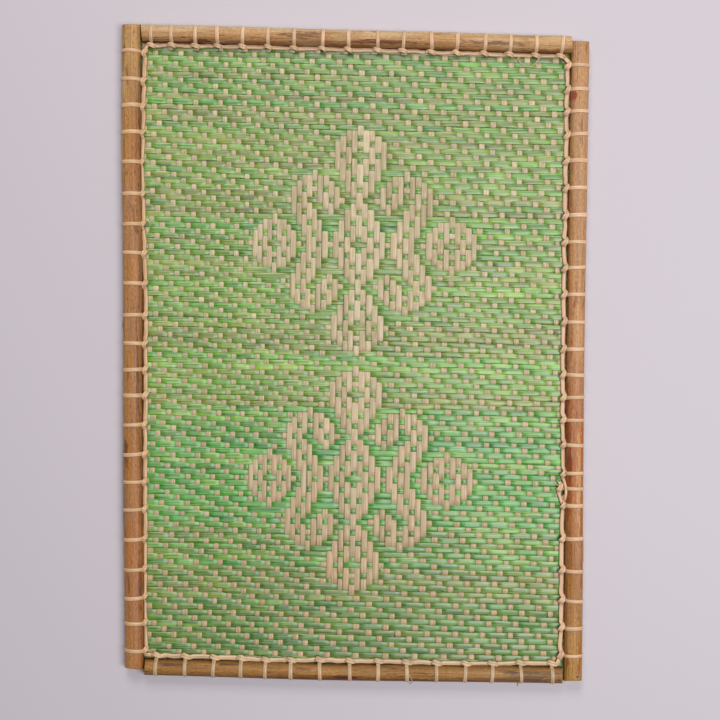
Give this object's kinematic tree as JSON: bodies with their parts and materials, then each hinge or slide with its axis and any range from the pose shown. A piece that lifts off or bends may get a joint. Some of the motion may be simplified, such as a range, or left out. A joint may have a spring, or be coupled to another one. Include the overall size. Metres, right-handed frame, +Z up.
{
  "type": "bamboo placemat",
  "caption": "Flat rectangular placemat of woven split-bamboo strips with two diamond medallions, framed by split rods sewn on with a running cane lashing.",
  "frame": {"origin": "under the middle of the mat, on the surface that it lies on", "axes": "+X across the mat, +Y along it towards its top end, +Z up out of the woven face"},
  "size_m": [0.2635, 0.362, 0.0103],
  "materials": {
    "weft": "dyed green split bamboo, satin, with a fine lengthwise grain",
    "warp": "natural split bamboo, satin, with a fine lengthwise grain",
    "rod": "split rod, smooth bark outside, worn and weathered",
    "cane": "pale split cane, satin"
  },
  "bodies": {
    "root": {"woven_mat": "weft", "rod_left": "rod", "rod_bottom": "rod", "rod_right": "rod", "rod_top": "rod", "lashing_left": "cane", "lashing_bottom": "cane", "lashing_right": "cane", "lashing_top": "cane"}
  },
  "joints": []
}
